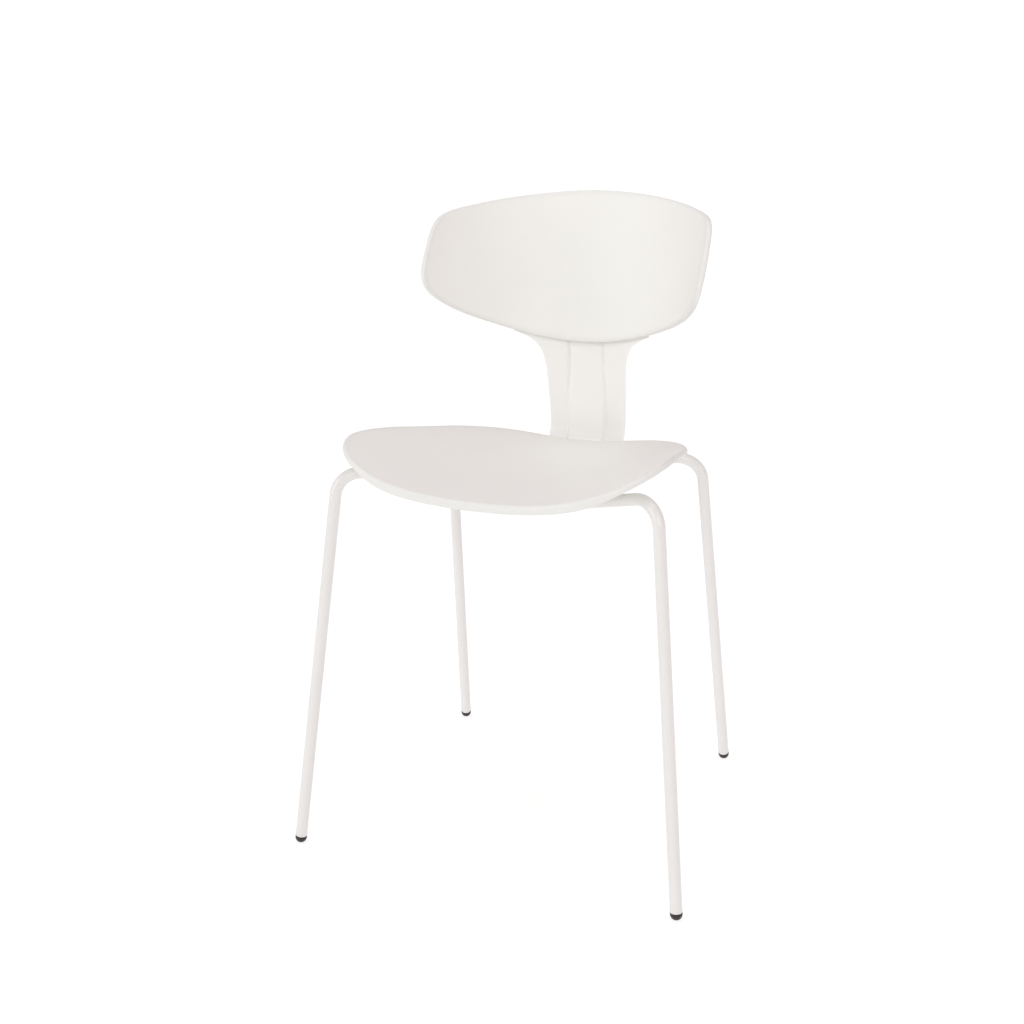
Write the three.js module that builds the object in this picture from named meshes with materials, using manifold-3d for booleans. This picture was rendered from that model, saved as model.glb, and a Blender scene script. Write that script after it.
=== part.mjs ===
// Stacking chair: a dished seat shell and a wrapped backrest shell on a pressed steel spine,
// carried by two bent tube leg frames. Millimetres, +Z up, the chair faces -Y, the floor is z = 0.
import * as THREE from 'three';
import { mergeVertices } from 'three/addons/utils/BufferGeometryUtils.js';
import Module from 'manifold-3d';

// ---------------------------------------------------------------- driving dimensions
const GAP = 0.3; // between pieces that touch

const TUBE = { radius: 7, bore: 5.5, arcSteps: 8, kinkRadius: 60 };
const FRONT_LEG = {
  foot: [240.3, -213],
  lean: [-0.1005, 0.0918], // x and y gained per mm of height
  cornerHeight: 473.7,
  bendRadius: 30,
  crossY: -96,
};
const REAR_LEG = {
  foot: [198.2, 213],
  lean: [-0.0565, -0.2215],
  cornerHeight: 460.8,
  bendRadius: 33,
  crossY: 86,
};
const CROSS_HALF = 54; // half length of the level middle of each leg frame

const GLIDE = { radius: 7.2, centre: 6.5, top: 8, stemRadius: 5.1, stemTop: 32 };

const SEAT = {
  thickness: 6.8,
  lipExtra: 4.5, // more thickness along the front lip
  lipStart: -150, // where the seat begins to thicken, and over what distance
  lipRun: 45,
  lipHalfWidth: 110, // where the extra thickness begins to fade sideways, and over what distance
  lipFade: 60,
  level: [454.1, 0.0018, 5.3e-5], // height on the centre line: constant, per y, per y squared
  dish: [1.136e-3, -2.6e-6, 5.1e-9, 7.5e-11], // rise per x squared: constant, per y, y squared, y cubed
  outline: [[0, -198.5], [53, -204], [101, -211.5], [149, -203], [179, -180.5], [193, -146],
    [192.5, -96], [182, -7], [151, 88], [104, 139], [63, 153.5], [0, 153.5]],
  middle: [0, -40],
};

const BACK = {
  thickness: 7,
  wrapRadius: 183.5, // horizontal wrap at the reference height
  wrapGrowth: 0.176, // how fast the wrap opens with height
  depth: 175.1, // y of the centre line at the reference height
  lean: [0.275, 0.00032], // per mm of height, per mm squared
  referenceHeight: 680,
  outline: [[0, 779.5], [101, 771.7], [177, 759.2], [211, 751.5], [223.5, 741], [228.5, 720],
    [235.5, 697], [239.4, 678], [232, 662], [210.5, 647.8], [171.5, 628.8], [118, 609.8], [60, 593],
    [0, 586.2]],
  middle: [0, 688],
};

const SPINE = {
  thickness: 3.5,
  tongueTop: 445,
  tongueFront: -116,
  tongueHalfWidth: 44,
  tongueCorner: 14,
  widenStart: 95, // where the tongue begins to widen to the web, and over what distance
  widenRun: 50,
  bendInside: 28.5,
  webHalfWidth: 52.4,
  webTaper: 0.03, // half width gained per mm of height above the web's foot
  webFoot: 475,
  flare: 36, // half width gained at the foot of the head
  flareFade: 13, // height over which the flare dies away below the head
  headHalfWidth: 97,
  headBottom: 597,
  headTop: 652,
  headCorner: 14,
  headGap: 2.2, // from the backrest shell to the flat of the head
  wrapStart: 485, // height where the spine begins to wrap sideways, and over what height it does
  wrapRun: 105,
  // The flat middle strip, each value first at the web's foot and then at the head.
  middleHalf: [22.5, 20.3],
  middleRise: [6, 0.4], // how far the strip stands forward of the wings
  creaseWidth: [7.5, 5.5], // of the slope between the strip and a wing
  creaseDepth: [1.2, 1.9], // of the groove pressed along the slope
  strip: { start: 88, run: 40, tongueRise: 2.6, lift: 28 }, // along the tongue in y, then up the bend
  stripChange: { from: 470, widthRun: 115, riseRun: 75 }, // heights over which the values change
  webLine: [[500, 173.2], [530, 170.2], [560, 167.2], [584, 165], [600, 164.6]], // z, y of the web's front
};

// Where the spine's sheet is divided: along its corners, tongue and web, and across its half width.
const SPINE_SHARES = {
  tongueCorner: [0, 0.07, 0.21, 0.43, 0.71, 1],
  tongueRows: [-70, -30, 10, 40, 60, 75, 90, 105, 120, 134],
  headCorner: [0, 0.3, 0.55, 0.75, 0.9, 1],
  webStart: 486,
  webStep: 12,
  flareStart: 572,
  flareStep: 6,
  middle: [0, 0.5, 1],
  crease: [0.22, 0.42, 0.58, 0.78, 1],
  wing: [0.25, 0.5, 0.75, 1],
};

const SEAT_SCREW = {
  headRadius: 6, headHeight: 3.5, shank: 2.8, length: 9.5, insertRadius: 4.7, insertLength: 6,
};
const BACK_SCREW = {
  headRadius: 5, headHeight: 2.8, shank: 2.3, length: 9, insertRadius: 3.9, insertLength: 4.6,
};
const INSERT_BORE_PLAY = 0.3;
const SCREW_HOLE_PLAY = 0.5;
const SCREW_SIDES = 12;
const SEAT_BOSS = { radius: 9, height: 5 };
const BACK_BOSS = { radius: 8, clearance: 0.8 }; // clearance: from its end to the spine's head
const SEAT_SCREW_SPOTS = [[-32, -70], [32, -70], [-32, 58], [32, 58]];
const BACK_SCREW_SPOTS = [[-64, 612], [64, 612], [-64, 638], [64, 638]];

const BUFFER_LENGTH = 22;
const BUFFER_MOUTH = Math.PI * 0.4; // half of the open angle, on the lower side of the tube
const BUFFER_SPOTS = [
  { name: 'front_left', frame: FRONT_LEG, side: -1, x: 100, outer: 13.3 },
  { name: 'front_right', frame: FRONT_LEG, side: 1, x: 100, outer: 13.3 },
  { name: 'rear_left', frame: REAR_LEG, side: -1, x: 96, outer: 12.8 },
  { name: 'rear_right', frame: REAR_LEG, side: 1, x: 96, outer: 12.8 },
];

// ---------------------------------------------------------------- materials
const finish = (color, roughness, metalness) => (
  new THREE.MeshStandardMaterial({ color, roughness, metalness })
);
const shellWhite = () => finish(0xebe8e4, 0.55, 0);
const paintedSteel = () => finish(0xf0ece8, 0.32, 0.1);
const darkPlastic = () => finish(0x241619, 0.45, 0);
const softBuffer = () => finish(0xd9d7d2, 0.7, 0);
const zincSteel = () => finish(0xb9bbbd, 0.35, 0.9);
const brass = () => finish(0xc2a25a, 0.35, 0.9);

// ---------------------------------------------------------------- solid helpers
const wasm = await Module();
wasm.setup();

function toSolid(geometry) {
  const bare = geometry.clone();
  bare.deleteAttribute('normal');
  bare.deleteAttribute('uv');
  const merged = mergeVertices(bare, 1e-4);
  return new wasm.Manifold(new wasm.Mesh({
    numProp: 3,
    vertProperties: new Float32Array(merged.attributes.position.array),
    triVerts: new Uint32Array(merged.index.array),
  }));
}

function toGeometry(solid) {
  const { vertProperties, triVerts } = solid.getMesh();
  const geometry = new THREE.BufferGeometry();
  geometry.setAttribute('position', new THREE.BufferAttribute(new Float32Array(vertProperties), 3));
  geometry.setIndex(new THREE.BufferAttribute(new Uint32Array(triVerts), 1));
  geometry.computeVertexNormals();
  return geometry;
}

function gridGeometry(points, triangles) {
  const geometry = new THREE.BufferGeometry();
  const flat = points.flatMap((p) => [p.x, p.y, p.z]);
  geometry.setAttribute('position', new THREE.Float32BufferAttribute(flat, 3));
  geometry.setIndex(triangles);
  geometry.computeVertexNormals();
  return geometry;
}

// A cylinder or prism from one point to another.
function rod(from, to, radius, sides = 16) {
  const length = from.distanceTo(to);
  const geometry = new THREE.CylinderGeometry(radius, radius, length, sides);
  const direction = to.clone().sub(from).normalize();
  geometry.applyQuaternion(new THREE.Quaternion().setFromUnitVectors(new THREE.Vector3(0, 1, 0), direction));
  geometry.translate(...from.clone().add(to).multiplyScalar(0.5).toArray());
  return geometry;
}

function part(name, geometry, material) {
  const mesh = new THREE.Mesh(geometry, material);
  mesh.name = name;
  return mesh;
}

// Places a mesh whose local +Z is to point along the given direction.
function aimed(mesh, position, direction) {
  mesh.position.copy(position);
  mesh.quaternion.setFromUnitVectors(new THREE.Vector3(0, 0, 1), direction);
  return mesh;
}

// ---------------------------------------------------------------- shells
// A closed outline through the right half's points and their mirror images.
function mirroredOutline(half, count) {
  const left = half.slice(1, -1).reverse().map(([u, v]) => [-u, v]);
  const knots = [...half, ...left].map(([u, v]) => new THREE.Vector3(u, v, 0));
  return new THREE.CatmullRomCurve3(knots, true, 'centripetal').getSpacedPoints(count).slice(0, count);
}

// A point of a curved sheet at plan position (u, v), moved by offset along the sheet's normal.
function sheetPoint(surface, u, v, offset) {
  const step = 0.5;
  const along = surface(u + step, v).sub(surface(u - step, v));
  const across = surface(u, v + step).sub(surface(u, v - step));
  const normal = along.cross(across).normalize();
  return { point: surface(u, v).addScaledVector(normal, offset), normal };
}

// A shell with a half-round rim, laid out as rings from the middle of its front face,
// round the rim and back to the middle of its rear face.
// Insets are in half thicknesses and depths in whole ones.
function shellGeometry(surface, outline, middle, thicknessAt, faceRings = 6, rimSteps = 4) {
  const count = outline.length;
  const rings = [];
  for (let i = 1; i <= faceRings; i++) rings.push({ share: i / faceRings, inset: 1, depth: 0 });
  for (let i = 1; i < rimSteps; i++) {
    const angle = Math.PI / 2 - (Math.PI * i) / rimSteps;
    rings.push({ share: 1, inset: 1 - Math.cos(angle), depth: (1 - Math.sin(angle)) / 2 });
  }
  for (let i = faceRings; i >= 1; i--) rings.push({ share: i / faceRings, inset: 1, depth: 1 });

  const points = [sheetPoint(surface, middle[0], middle[1], 0).point];
  for (const { share, inset, depth } of rings) {
    for (const edge of outline) {
      const half = thicknessAt(edge.x, edge.y) / 2;
      const reach = Math.hypot(edge.x - middle[0], edge.y - middle[1]);
      const scale = (share * (reach - inset * half)) / reach;
      const u = middle[0] + (edge.x - middle[0]) * scale;
      const v = middle[1] + (edge.y - middle[1]) * scale;
      points.push(sheetPoint(surface, u, v, -depth * thicknessAt(u, v)).point);
    }
  }
  points.push(sheetPoint(surface, middle[0], middle[1], -thicknessAt(...middle)).point);

  const triangles = [];
  const last = points.length - 1;
  for (let j = 0; j < count; j++) {
    const next = (j + 1) % count;
    triangles.push(0, 1 + j, 1 + next);
    for (let i = 0; i < rings.length - 1; i++) {
      const a = 1 + i * count + j;
      const b = 1 + i * count + next;
      triangles.push(a, a + count, b, b, a + count, b + count);
    }
    const base = 1 + (rings.length - 1) * count;
    triangles.push(last, base + next, base + j);
  }
  return gridGeometry(points, triangles);
}

const polynomial = (coefficients, x) => coefficients.reduceRight((sum, c) => sum * x + c, 0);

const ease = (x) => {
  const t = Math.min(1, Math.max(0, x));
  return t * t * (3 - 2 * t);
};

// Top face of the seat over plan position (x, y).
const seatSurface = (x, y) => (
  new THREE.Vector3(x, y, polynomial(SEAT.level, y) + polynomial(SEAT.dish, y) * x * x)
);

// The seat thickens towards the middle of its front lip.
function seatThickness(x, y) {
  const forward = ease((SEAT.lipStart - y) / SEAT.lipRun);
  const central = 1 - ease((Math.abs(x) - SEAT.lipHalfWidth) / SEAT.lipFade);
  return SEAT.thickness + SEAT.lipExtra * forward * central;
}

// Horizontal wrap radius and centre-line depth of the backrest's front face at a height.
const wrapRadius = (z) => BACK.wrapRadius + BACK.wrapGrowth * (z - BACK.referenceHeight);
function backDepth(z) {
  const rise = z - BACK.referenceHeight;
  return BACK.depth + BACK.lean[0] * rise + BACK.lean[1] * rise * rise;
}

// Horizontal distance that makes up a given distance square to the leaning backrest.
function leanedDistance(z, distance) {
  const slope = BACK.lean[0] + 2 * BACK.lean[1] * (z - BACK.referenceHeight);
  return distance * Math.hypot(1, slope);
}

// Backrest's front face at arc length u from the middle and height z.
function backSurface(u, z) {
  const radius = wrapRadius(z);
  const angle = u / radius;
  return new THREE.Vector3(radius * Math.sin(angle), backDepth(z) - radius * (1 - Math.cos(angle)), z);
}

function seatShell() {
  const outline = mirroredOutline(SEAT.outline, 72);
  let shell = toSolid(shellGeometry(seatSurface, outline, SEAT.middle, seatThickness));
  const face = SPINE.tongueTop + GAP;
  for (const [x, y] of SEAT_SCREW_SPOTS) {
    const foot = new THREE.Vector3(x, y, face);
    const head = new THREE.Vector3(x, y, face + SEAT_BOSS.height);
    shell = shell.add(toSolid(rod(foot, head, SEAT_BOSS.radius)));
  }
  for (const [x, y] of SEAT_SCREW_SPOTS) {
    const below = new THREE.Vector3(x, y, face - 1);
    const end = new THREE.Vector3(x, y, face + SEAT_SCREW.insertLength + 1);
    shell = shell.subtract(toSolid(rod(below, end, SEAT_SCREW.insertRadius + GAP)));
  }
  return part('seat_shell', toGeometry(shell), shellWhite());
}

// A point a given distance behind the backrest's front face at (u, z), and the way out of the back.
function behindBack([u, z], distance) {
  const { point, normal } = sheetPoint(backSurface, u, z, -distance);
  return { point, outward: normal.negate() };
}

const BOSS_END = BACK.thickness + SPINE.headGap - BACK_BOSS.clearance;

function backrestShell() {
  const outline = mirroredOutline(BACK.outline, 80).reverse();
  let shell = toSolid(shellGeometry(backSurface, outline, BACK.middle, () => BACK.thickness));
  for (const spot of BACK_SCREW_SPOTS) {
    const root = behindBack(spot, BACK.thickness / 2).point;
    const end = behindBack(spot, BOSS_END).point;
    shell = shell.add(toSolid(rod(root, end, BACK_BOSS.radius)));
  }
  for (const spot of BACK_SCREW_SPOTS) {
    const bottom = behindBack(spot, BOSS_END - BACK_SCREW.insertLength - 1).point;
    const open = behindBack(spot, BOSS_END + 1).point;
    shell = shell.subtract(toSolid(rod(bottom, open, BACK_SCREW.insertRadius + GAP)));
  }
  return part('backrest_shell', toGeometry(shell), shellWhite());
}

// ---------------------------------------------------------------- spine
// Front face of the spine's web and head on the centre line, as a depth for a height.
function webDepth(z) {
  if (z >= SPINE.webLine.at(-1)[0]) return backDepth(z) + leanedDistance(z, BACK.thickness + SPINE.headGap);
  const knots = SPINE.webLine;
  const i = Math.max(1, knots.findIndex(([height]) => height > z));
  const [z0, y0] = knots[i - 1];
  const [z1, y1] = knots[i];
  return y0 + ((y1 - y0) * (z - z0)) / (z1 - z0);
}

// The spine's centre line, from the front of the tongue, round the bend and up to the head's top.
function spineRows() {
  const rows = [];
  const flat = SPINE.tongueTop;
  const slope = (SPINE.webLine[1][1] - SPINE.webLine[0][1]) / (SPINE.webLine[1][0] - SPINE.webLine[0][0]);
  const webLean = Math.atan(-slope);
  const bendTopZ = flat + SPINE.bendInside * (1 + Math.sin(webLean));
  const bendTopY = SPINE.webLine[0][1] + slope * (bendTopZ - SPINE.webLine[0][0]);
  const centreY = bendTopY - SPINE.bendInside * Math.cos(webLean);
  for (const share of SPINE_SHARES.tongueCorner) {
    rows.push([SPINE.tongueFront + share * SPINE.tongueCorner, flat]);
  }
  for (const y of SPINE_SHARES.tongueRows) rows.push([y, flat]);
  const bendSteps = 8;
  for (let i = 0; i <= bendSteps; i++) {
    const angle = -Math.PI / 2 + ((Math.PI / 2 + webLean) * i) / bendSteps;
    const y = centreY + SPINE.bendInside * Math.cos(angle);
    rows.push([y, flat + SPINE.bendInside + SPINE.bendInside * Math.sin(angle)]);
  }
  const { webStart, webStep, flareStart, flareStep } = SPINE_SHARES;
  for (let z = webStart; z < flareStart; z += webStep) rows.push([webDepth(z), z]);
  for (let z = flareStart; z < SPINE.headTop - SPINE.headCorner; z += flareStep) rows.push([webDepth(z), z]);
  for (const share of SPINE_SHARES.headCorner) {
    const z = SPINE.headTop - SPINE.headCorner * (1 - share);
    rows.push([webDepth(z), z]);
  }
  return rows;
}

const roundedEnd = (half, corner, distance) => {
  const short = Math.max(0, corner - distance);
  return half - corner + Math.sqrt(corner * corner - short * short);
};

function spineHalfWidth(y, z) {
  if (z < SPINE.tongueTop + 1) {
    const gain = SPINE.webHalfWidth - SPINE.tongueHalfWidth;
    const widened = SPINE.tongueHalfWidth + gain * ease((y - SPINE.widenStart) / SPINE.widenRun);
    return y < 0 ? roundedEnd(widened, SPINE.tongueCorner, y - SPINE.tongueFront) : widened;
  }
  const climb = Math.max(0, z - SPINE.webFoot);
  const flare = SPINE.flare * Math.exp((z - SPINE.headBottom) / SPINE.flareFade);
  const widened = SPINE.webHalfWidth + SPINE.webTaper * climb + flare;
  return roundedEnd(Math.min(widened, SPINE.headHalfWidth), SPINE.headCorner, SPINE.headTop - z);
}

// The strip in the middle of the spine: its half width and rise, and the slopes beside it.
function stripAt(y, z) {
  const { start, run, tongueRise, lift } = SPINE.strip;
  const { from, widthRun, riseRun } = SPINE.stripChange;
  const onTongue = z < SPINE.tongueTop + 1;
  const fade = onTongue ? ease((y - start) / run) : 1;
  const between = ([low, high], share) => low + (high - low) * share;
  const widths = ease((z - from) / widthRun);
  const rises = ease((z - from) / riseRun);
  const lifted = ease((z - SPINE.tongueTop) / lift);
  return {
    middle: between(SPINE.middleHalf, widths),
    slope: between(SPINE.creaseWidth, widths),
    rise: between([tongueRise, between(SPINE.middleRise, rises)], lifted) * fade,
    groove: between(SPINE.creaseDepth, rises) * fade,
  };
}

// Half of the spine's cross-section: places across it, their rise, and their share of the sideways wrap.
function halfSection(y, z) {
  const { middle, slope, rise, groove } = stripAt(y, z);
  const half = spineHalfWidth(y, z);
  const edge = Math.min(middle + slope, half - 2);
  return [
    ...SPINE_SHARES.middle.map((f) => [f * middle, rise, 0]),
    ...SPINE_SHARES.crease.map((f) => [
      middle + f * (edge - middle),
      rise * (1 - ease(f)) - groove * Math.sin(Math.PI * f) ** 2,
      ease(f),
    ]),
    ...SPINE_SHARES.wing.map((f) => [edge + f * (half - edge), 0, 1]),
  ];
}

// Sideways curvature of the spine: flat at the seat, wrapped round the backrest at the head.
function spineCurvature(z) {
  const headRadius = wrapRadius(Math.max(z, SPINE.headBottom)) + BACK.thickness + SPINE.headGap;
  return 1e-6 + ease((z - SPINE.wrapStart) / SPINE.wrapRun) / headRadius;
}

function spineSheet() {
  const rows = spineRows();
  const faces = { front: [], rear: [] };
  rows.forEach(([y, z], i) => {
    const before = rows[Math.max(0, i - 1)];
    const after = rows[Math.min(rows.length - 1, i + 1)];
    const run = new THREE.Vector2(after[0] - before[0], after[1] - before[1]).normalize();
    const normal = new THREE.Vector3(0, -run.y, run.x);
    const right = halfSection(y, z);
    const line = [...right.slice(1).reverse().map(([u, h, wrap]) => [-u, h, wrap]), ...right];
    const bend = spineCurvature(z);
    for (const [face, depth] of [['front', 0], ['rear', -SPINE.thickness]]) {
      faces[face].push(line.map(([u, h, wrap]) => {
        const forward = (wrap * (1 - Math.cos(bend * u))) / bend;
        const point = new THREE.Vector3(Math.sin(bend * u) / bend, y - forward, z);
        return point.addScaledVector(normal, h + depth);
      }));
    }
  });
  return faces;
}

// A closed sheet from two equal grids of points.
function sheetGeometry({ front, rear }) {
  const rows = front.length;
  const columns = front[0].length;
  const points = [...front.flat(), ...rear.flat()];
  const at = (face, i, j) => face * rows * columns + i * columns + j;
  const triangles = [];
  const quad = (a, b, c, d) => triangles.push(a, b, c, a, c, d);
  for (let i = 0; i < rows - 1; i++) {
    for (let j = 0; j < columns - 1; j++) {
      quad(at(0, i, j), at(0, i, j + 1), at(0, i + 1, j + 1), at(0, i + 1, j));
      quad(at(1, i, j), at(1, i + 1, j), at(1, i + 1, j + 1), at(1, i, j + 1));
    }
    quad(at(0, i, 0), at(0, i + 1, 0), at(1, i + 1, 0), at(1, i, 0));
    quad(at(0, i + 1, columns - 1), at(0, i, columns - 1), at(1, i, columns - 1), at(1, i + 1, columns - 1));
  }
  for (let j = 0; j < columns - 1; j++) {
    quad(at(0, 0, j + 1), at(0, 0, j), at(1, 0, j), at(1, 0, j + 1));
    quad(at(0, rows - 1, j), at(0, rows - 1, j + 1), at(1, rows - 1, j + 1), at(1, rows - 1, j));
  }
  return gridGeometry(points, triangles);
}

function spineBracket() {
  let spine = toSolid(sheetGeometry(spineSheet()));
  for (const [x, y] of SEAT_SCREW_SPOTS) {
    const low = new THREE.Vector3(x, y, SPINE.tongueTop - 10);
    const high = new THREE.Vector3(x, y, SPINE.tongueTop + 10);
    spine = spine.subtract(toSolid(rod(low, high, SEAT_SCREW.shank + SCREW_HOLE_PLAY)));
  }
  for (const spot of BACK_SCREW_SPOTS) {
    const near = behindBack(spot, BACK.thickness).point;
    const far = behindBack(spot, BACK.thickness + 20).point;
    spine = spine.subtract(toSolid(rod(near, far, BACK_SCREW.shank + SCREW_HOLE_PLAY)));
  }
  return part('spine_bracket', toGeometry(spine), paintedSteel());
}

// ---------------------------------------------------------------- leg frames
const crossHeight = SPINE.tongueTop - SPINE.thickness - GAP - TUBE.radius;

const footPoint = ({ foot }) => new THREE.Vector3(foot[0], foot[1], 0);
const legDirection = ({ lean }) => new THREE.Vector3(lean[0], lean[1], 1).normalize();
const kinkPoint = ({ crossY }) => new THREE.Vector3(CROSS_HALF, crossY, crossHeight);

function cornerPoint(frame) {
  const direction = legDirection(frame);
  return footPoint(frame).addScaledVector(direction, frame.cornerHeight / direction.z);
}

// Points of a tangent arc that rounds the corner between two straight runs.
function roundedCorner(before, corner, after, radius, steps) {
  const inward = corner.clone().sub(before).normalize();
  const outward = after.clone().sub(corner).normalize();
  const turn = inward.angleTo(outward);
  const reach = radius * Math.tan(turn / 2);
  const start = corner.clone().addScaledVector(inward, -reach);
  const side = outward.clone().addScaledVector(inward, -inward.dot(outward)).normalize();
  const points = [];
  for (let i = 0; i <= steps; i++) {
    const angle = (turn * i) / steps;
    const along = radius * Math.sin(angle);
    const across = radius * (1 - Math.cos(angle));
    points.push(start.clone().addScaledVector(inward, along).addScaledVector(side, across));
  }
  return points;
}

// A path whose stations are given points, so that straight runs take one step and bends take many.
class StationPath extends THREE.Curve {
  constructor(stations) {
    super();
    this.stations = stations;
  }

  getPoint(t) {
    const place = t * (this.stations.length - 1);
    const index = Math.min(this.stations.length - 2, Math.floor(place + 1e-9));
    return this.stations[index].clone().lerp(this.stations[index + 1], place - index);
  }

  getUtoTmapping(u) {
    return u;
  }
}

function legFrame(name, frame) {
  const start = footPoint(frame).addScaledVector(legDirection(frame), GLIDE.top + GAP);
  const corner = cornerPoint(frame);
  const kink = kinkPoint(frame);
  const middle = new THREE.Vector3(0, frame.crossY, crossHeight);
  const half = [
    start,
    ...roundedCorner(start, corner, kink, frame.bendRadius, 8),
    ...roundedCorner(corner, kink, middle, TUBE.kinkRadius, 3),
  ];
  const mirrored = half.map((p) => new THREE.Vector3(-p.x, p.y, p.z)).reverse();
  const stations = [...half, ...mirrored];
  const section = new THREE.Shape();
  section.absarc(0, 0, TUBE.radius, 0, Math.PI * 2);
  section.holes.push(new THREE.Path().absarc(0, 0, TUBE.bore, 0, Math.PI * 2, true));
  const geometry = new THREE.ExtrudeGeometry(section, {
    extrudePath: new StationPath(stations),
    steps: stations.length - 1,
    curveSegments: TUBE.arcSteps,
  });
  return part(name, geometry, paintedSteel());
}

// A domed foot that plugs into the tube, cut flat where it rests on the floor.
function glide(name, frame, side) {
  const { radius, centre, top, stemRadius, stemTop } = GLIDE;
  const profile = [];
  const domeSteps = 8;
  for (let i = 0; i <= domeSteps; i++) {
    const angle = -Math.PI / 2 + ((Math.PI / 2) * i) / domeSteps;
    profile.push(new THREE.Vector2(Math.max(0, radius * Math.cos(angle)), centre + radius * Math.sin(angle)));
  }
  profile[0].x = 0;
  profile.push(new THREE.Vector2(radius, top), new THREE.Vector2(stemRadius, top));
  profile.push(new THREE.Vector2(stemRadius, stemTop - 2), new THREE.Vector2(stemRadius - 1, stemTop));
  profile.push(new THREE.Vector2(0, stemTop));
  const direction = legDirection(frame);
  direction.x *= side;
  const turned = new THREE.LatheGeometry(profile, 20);
  turned.applyQuaternion(new THREE.Quaternion().setFromUnitVectors(new THREE.Vector3(0, 1, 0), direction));
  const below = new THREE.BoxGeometry(40, 40, 20);
  below.translate(0, 0, -10);
  const mesh = part(name, toGeometry(toSolid(turned).subtract(toSolid(below))), darkPlastic());
  mesh.position.set(frame.foot[0] * side, frame.foot[1], 0);
  return mesh;
}

// A C-shaped clip on a leg frame's inner run, which the seat shell bears on.
function buffer({ name, frame, side, x, outer }) {
  const corner = cornerPoint(frame);
  const kink = kinkPoint(frame);
  const share = (corner.x - x) / (corner.x - kink.x);
  const middle = corner.clone().lerp(kink, share);
  const run = corner.clone().sub(kink).normalize();
  middle.x *= side;
  run.x *= side;
  const inner = TUBE.radius + GAP;
  const clip = new THREE.Shape();
  clip.absarc(0, 0, outer, BUFFER_MOUTH, Math.PI * 2 - BUFFER_MOUTH, false);
  clip.absarc(0, 0, inner, Math.PI * 2 - BUFFER_MOUTH, BUFFER_MOUTH, true);
  clip.closePath();
  const geometry = new THREE.ExtrudeGeometry(clip, {
    depth: BUFFER_LENGTH,
    bevelEnabled: false,
    curveSegments: 7,
  });
  geometry.translate(0, 0, -BUFFER_LENGTH / 2);
  // The mouth opens along local +X, which is turned to point down.
  const down = new THREE.Vector3(0, 0, -1).addScaledVector(run, run.z).normalize();
  const across = run.clone().cross(down);
  geometry.applyMatrix4(new THREE.Matrix4().makeBasis(down, across, run));
  const mesh = part(`seat_buffer_${name}`, geometry, softBuffer());
  mesh.position.copy(middle);
  return mesh;
}

// ---------------------------------------------------------------- fasteners
// A button-head socket screw, its seat at z = 0, its head above and its shank below.
function screw(name, { headRadius, headHeight, shank, length }) {
  const profile = [
    new THREE.Vector2(0, -length),
    new THREE.Vector2(shank - 0.6, -length),
    new THREE.Vector2(shank, -length + 0.6),
    new THREE.Vector2(shank, 0),
    new THREE.Vector2(headRadius, 0),
    new THREE.Vector2(headRadius, headHeight * 0.3),
    new THREE.Vector2(headRadius * 0.86, headHeight * 0.75),
    new THREE.Vector2(headRadius * 0.6, headHeight),
    new THREE.Vector2(0, headHeight),
  ];
  const body = new THREE.LatheGeometry(profile, SCREW_SIDES);
  body.rotateX(Math.PI / 2);
  const bottom = new THREE.Vector3(0, 0, headHeight * 0.35);
  const top = new THREE.Vector3(0, 0, headHeight + 1);
  const socket = rod(bottom, top, headRadius * 0.42, 6);
  return part(name, toGeometry(toSolid(body).subtract(toSolid(socket))), zincSteel());
}

// A knurled threaded sleeve with its mouth at z = 0 and its body below.
function insert(name, { shank, insertRadius, insertLength }) {
  const bore = shank + INSERT_BORE_PLAY;
  const profile = [
    new THREE.Vector2(bore, 0),
    new THREE.Vector2(bore, -insertLength),
    new THREE.Vector2(insertRadius, -insertLength),
    new THREE.Vector2(insertRadius, -insertLength * 0.62),
    new THREE.Vector2(insertRadius - 0.5, -insertLength * 0.56),
    new THREE.Vector2(insertRadius - 0.5, -insertLength * 0.44),
    new THREE.Vector2(insertRadius, -insertLength * 0.38),
    new THREE.Vector2(insertRadius, 0),
    new THREE.Vector2(bore, 0),
  ];
  const sleeve = new THREE.LatheGeometry(profile, SCREW_SIDES);
  sleeve.rotateX(Math.PI / 2);
  return part(name, sleeve, brass());
}

function seatFasteners() {
  const down = new THREE.Vector3(0, 0, -1);
  const underTongue = SPINE.tongueTop - SPINE.thickness - GAP;
  const mouth = SPINE.tongueTop + 2 * GAP;
  return SEAT_SCREW_SPOTS.flatMap(([x, y], i) => [
    aimed(screw(`seat_screw_${i + 1}`, SEAT_SCREW), new THREE.Vector3(x, y, underTongue), down),
    aimed(insert(`seat_insert_${i + 1}`, SEAT_SCREW), new THREE.Vector3(x, y, mouth), down),
  ]);
}

function backFasteners() {
  return BACK_SCREW_SPOTS.flatMap((spot, i) => {
    const headSeat = behindBack(spot, BACK.thickness + SPINE.headGap + SPINE.thickness + GAP);
    const mouth = behindBack(spot, BOSS_END - GAP);
    return [
      aimed(screw(`back_screw_${i + 1}`, BACK_SCREW), headSeat.point, headSeat.outward),
      aimed(insert(`back_insert_${i + 1}`, BACK_SCREW), mouth.point, mouth.outward),
    ];
  });
}

// ---------------------------------------------------------------- assembly
const chair = new THREE.Group();
chair.name = 'stacking_chair';

const upper = new THREE.Group();
upper.add(seatShell(), backrestShell(), spineBracket(), ...seatFasteners(), ...backFasteners());

const base = new THREE.Group();
base.add(legFrame('front_leg_frame', FRONT_LEG), legFrame('rear_leg_frame', REAR_LEG));
for (const [end, frame] of [['front', FRONT_LEG], ['rear', REAR_LEG]]) {
  base.add(glide(`glide_${end}_left`, frame, -1), glide(`glide_${end}_right`, frame, 1));
}
base.add(...BUFFER_SPOTS.map(buffer));

chair.add(upper, base);
export default chair;
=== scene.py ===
import math

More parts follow.
